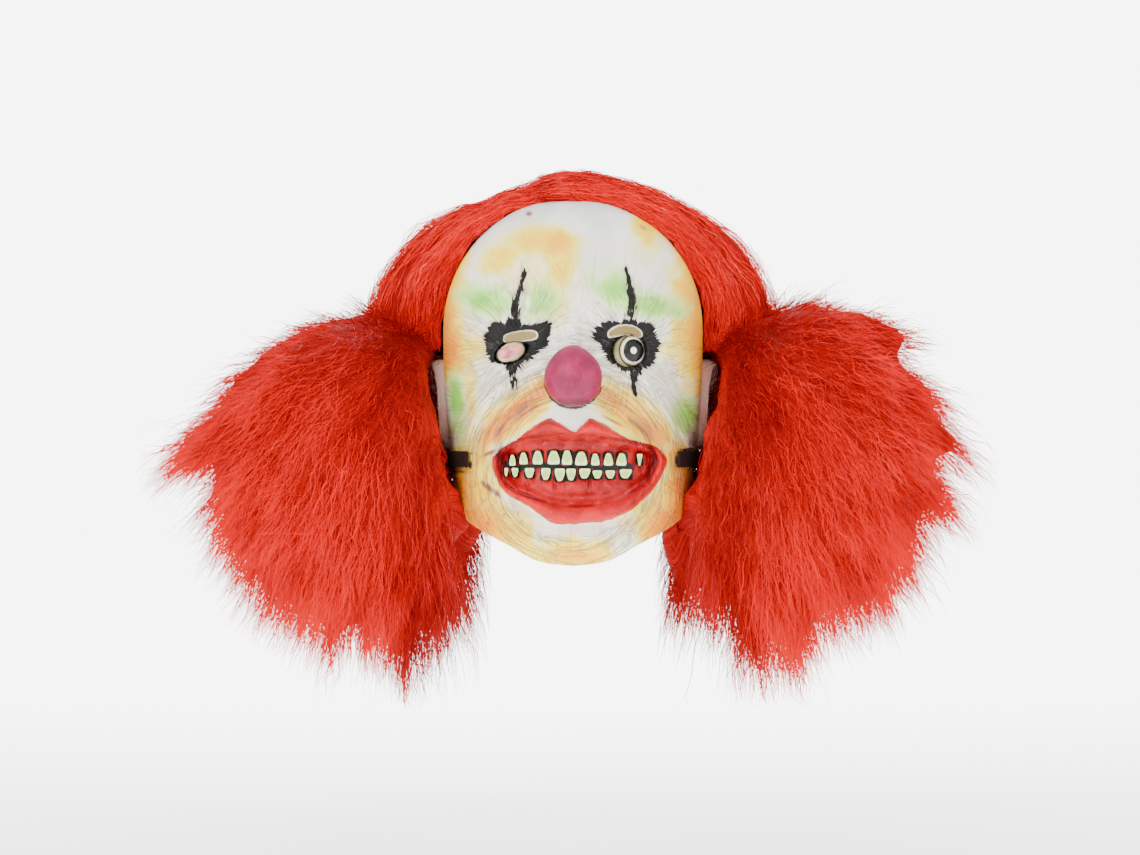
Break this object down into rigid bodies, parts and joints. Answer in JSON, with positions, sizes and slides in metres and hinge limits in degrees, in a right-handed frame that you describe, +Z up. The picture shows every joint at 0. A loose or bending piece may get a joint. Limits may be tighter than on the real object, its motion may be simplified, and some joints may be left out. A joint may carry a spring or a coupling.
{
  "type": "clown mask with hair",
  "caption": "Hollow latex clown mask with a ball nose, grinning mouth with teeth, ears, a cheek strap, a hair cap and two fluffy side bunches.",
  "frame": {"origin": "inside of the crown of the hood, where the wearer's head carries the mask", "axes": "+Z up, the face looks along -Y, +X to the viewer's right seen from the front"},
  "size_m": [0.6078, 0.2747, 0.3798],
  "materials": {
    "face_latex": "painted latex, cream with ochre, green and red paint, satin",
    "ear_latex": "pale pink latex, brownish in the hollows",
    "nose_latex": "magenta painted latex, satin",
    "eye_enamel": "khaki with a black iris, satin gloss",
    "tooth_enamel": "pale green with cream edges",
    "strap_webbing": "dark brown woven elastic",
    "red_fibre": "bright red crimped synthetic fibre, soft sheen"
  },
  "bodies": {
    "root": {"mask_shell": "face_latex", "ear_left": "ear_latex", "ear_right": "ear_latex", "nose": "nose_latex", "eye_left": "eye_enamel", "eye_right": "eye_enamel", "tooth_upper_01": "tooth_enamel", "tooth_upper_02": "tooth_enamel", "tooth_upper_03": "tooth_enamel", "tooth_upper_04": "tooth_enamel", "tooth_upper_05": "tooth_enamel", "tooth_upper_06": "tooth_enamel", "tooth_upper_07": "tooth_enamel", "tooth_upper_08": "tooth_enamel", "tooth_upper_09": "tooth_enamel", "tooth_upper_10": "tooth_enamel", "tooth_lower_01": "tooth_enamel", "tooth_lower_02": "tooth_enamel", "tooth_lower_03": "tooth_enamel", "tooth_lower_04": "tooth_enamel", "tooth_lower_05": "tooth_enamel", "tooth_lower_06": "tooth_enamel", "tooth_lower_07": "tooth_enamel", "tooth_lower_08": "tooth_enamel", "tooth_lower_09": "tooth_enamel", "tooth_lower_10": "tooth_enamel", "strap": "strap_webbing", "crown_hair": "red_fibre", "bunch_left": "red_fibre", "bunch_right": "red_fibre"}
  },
  "joints": []
}
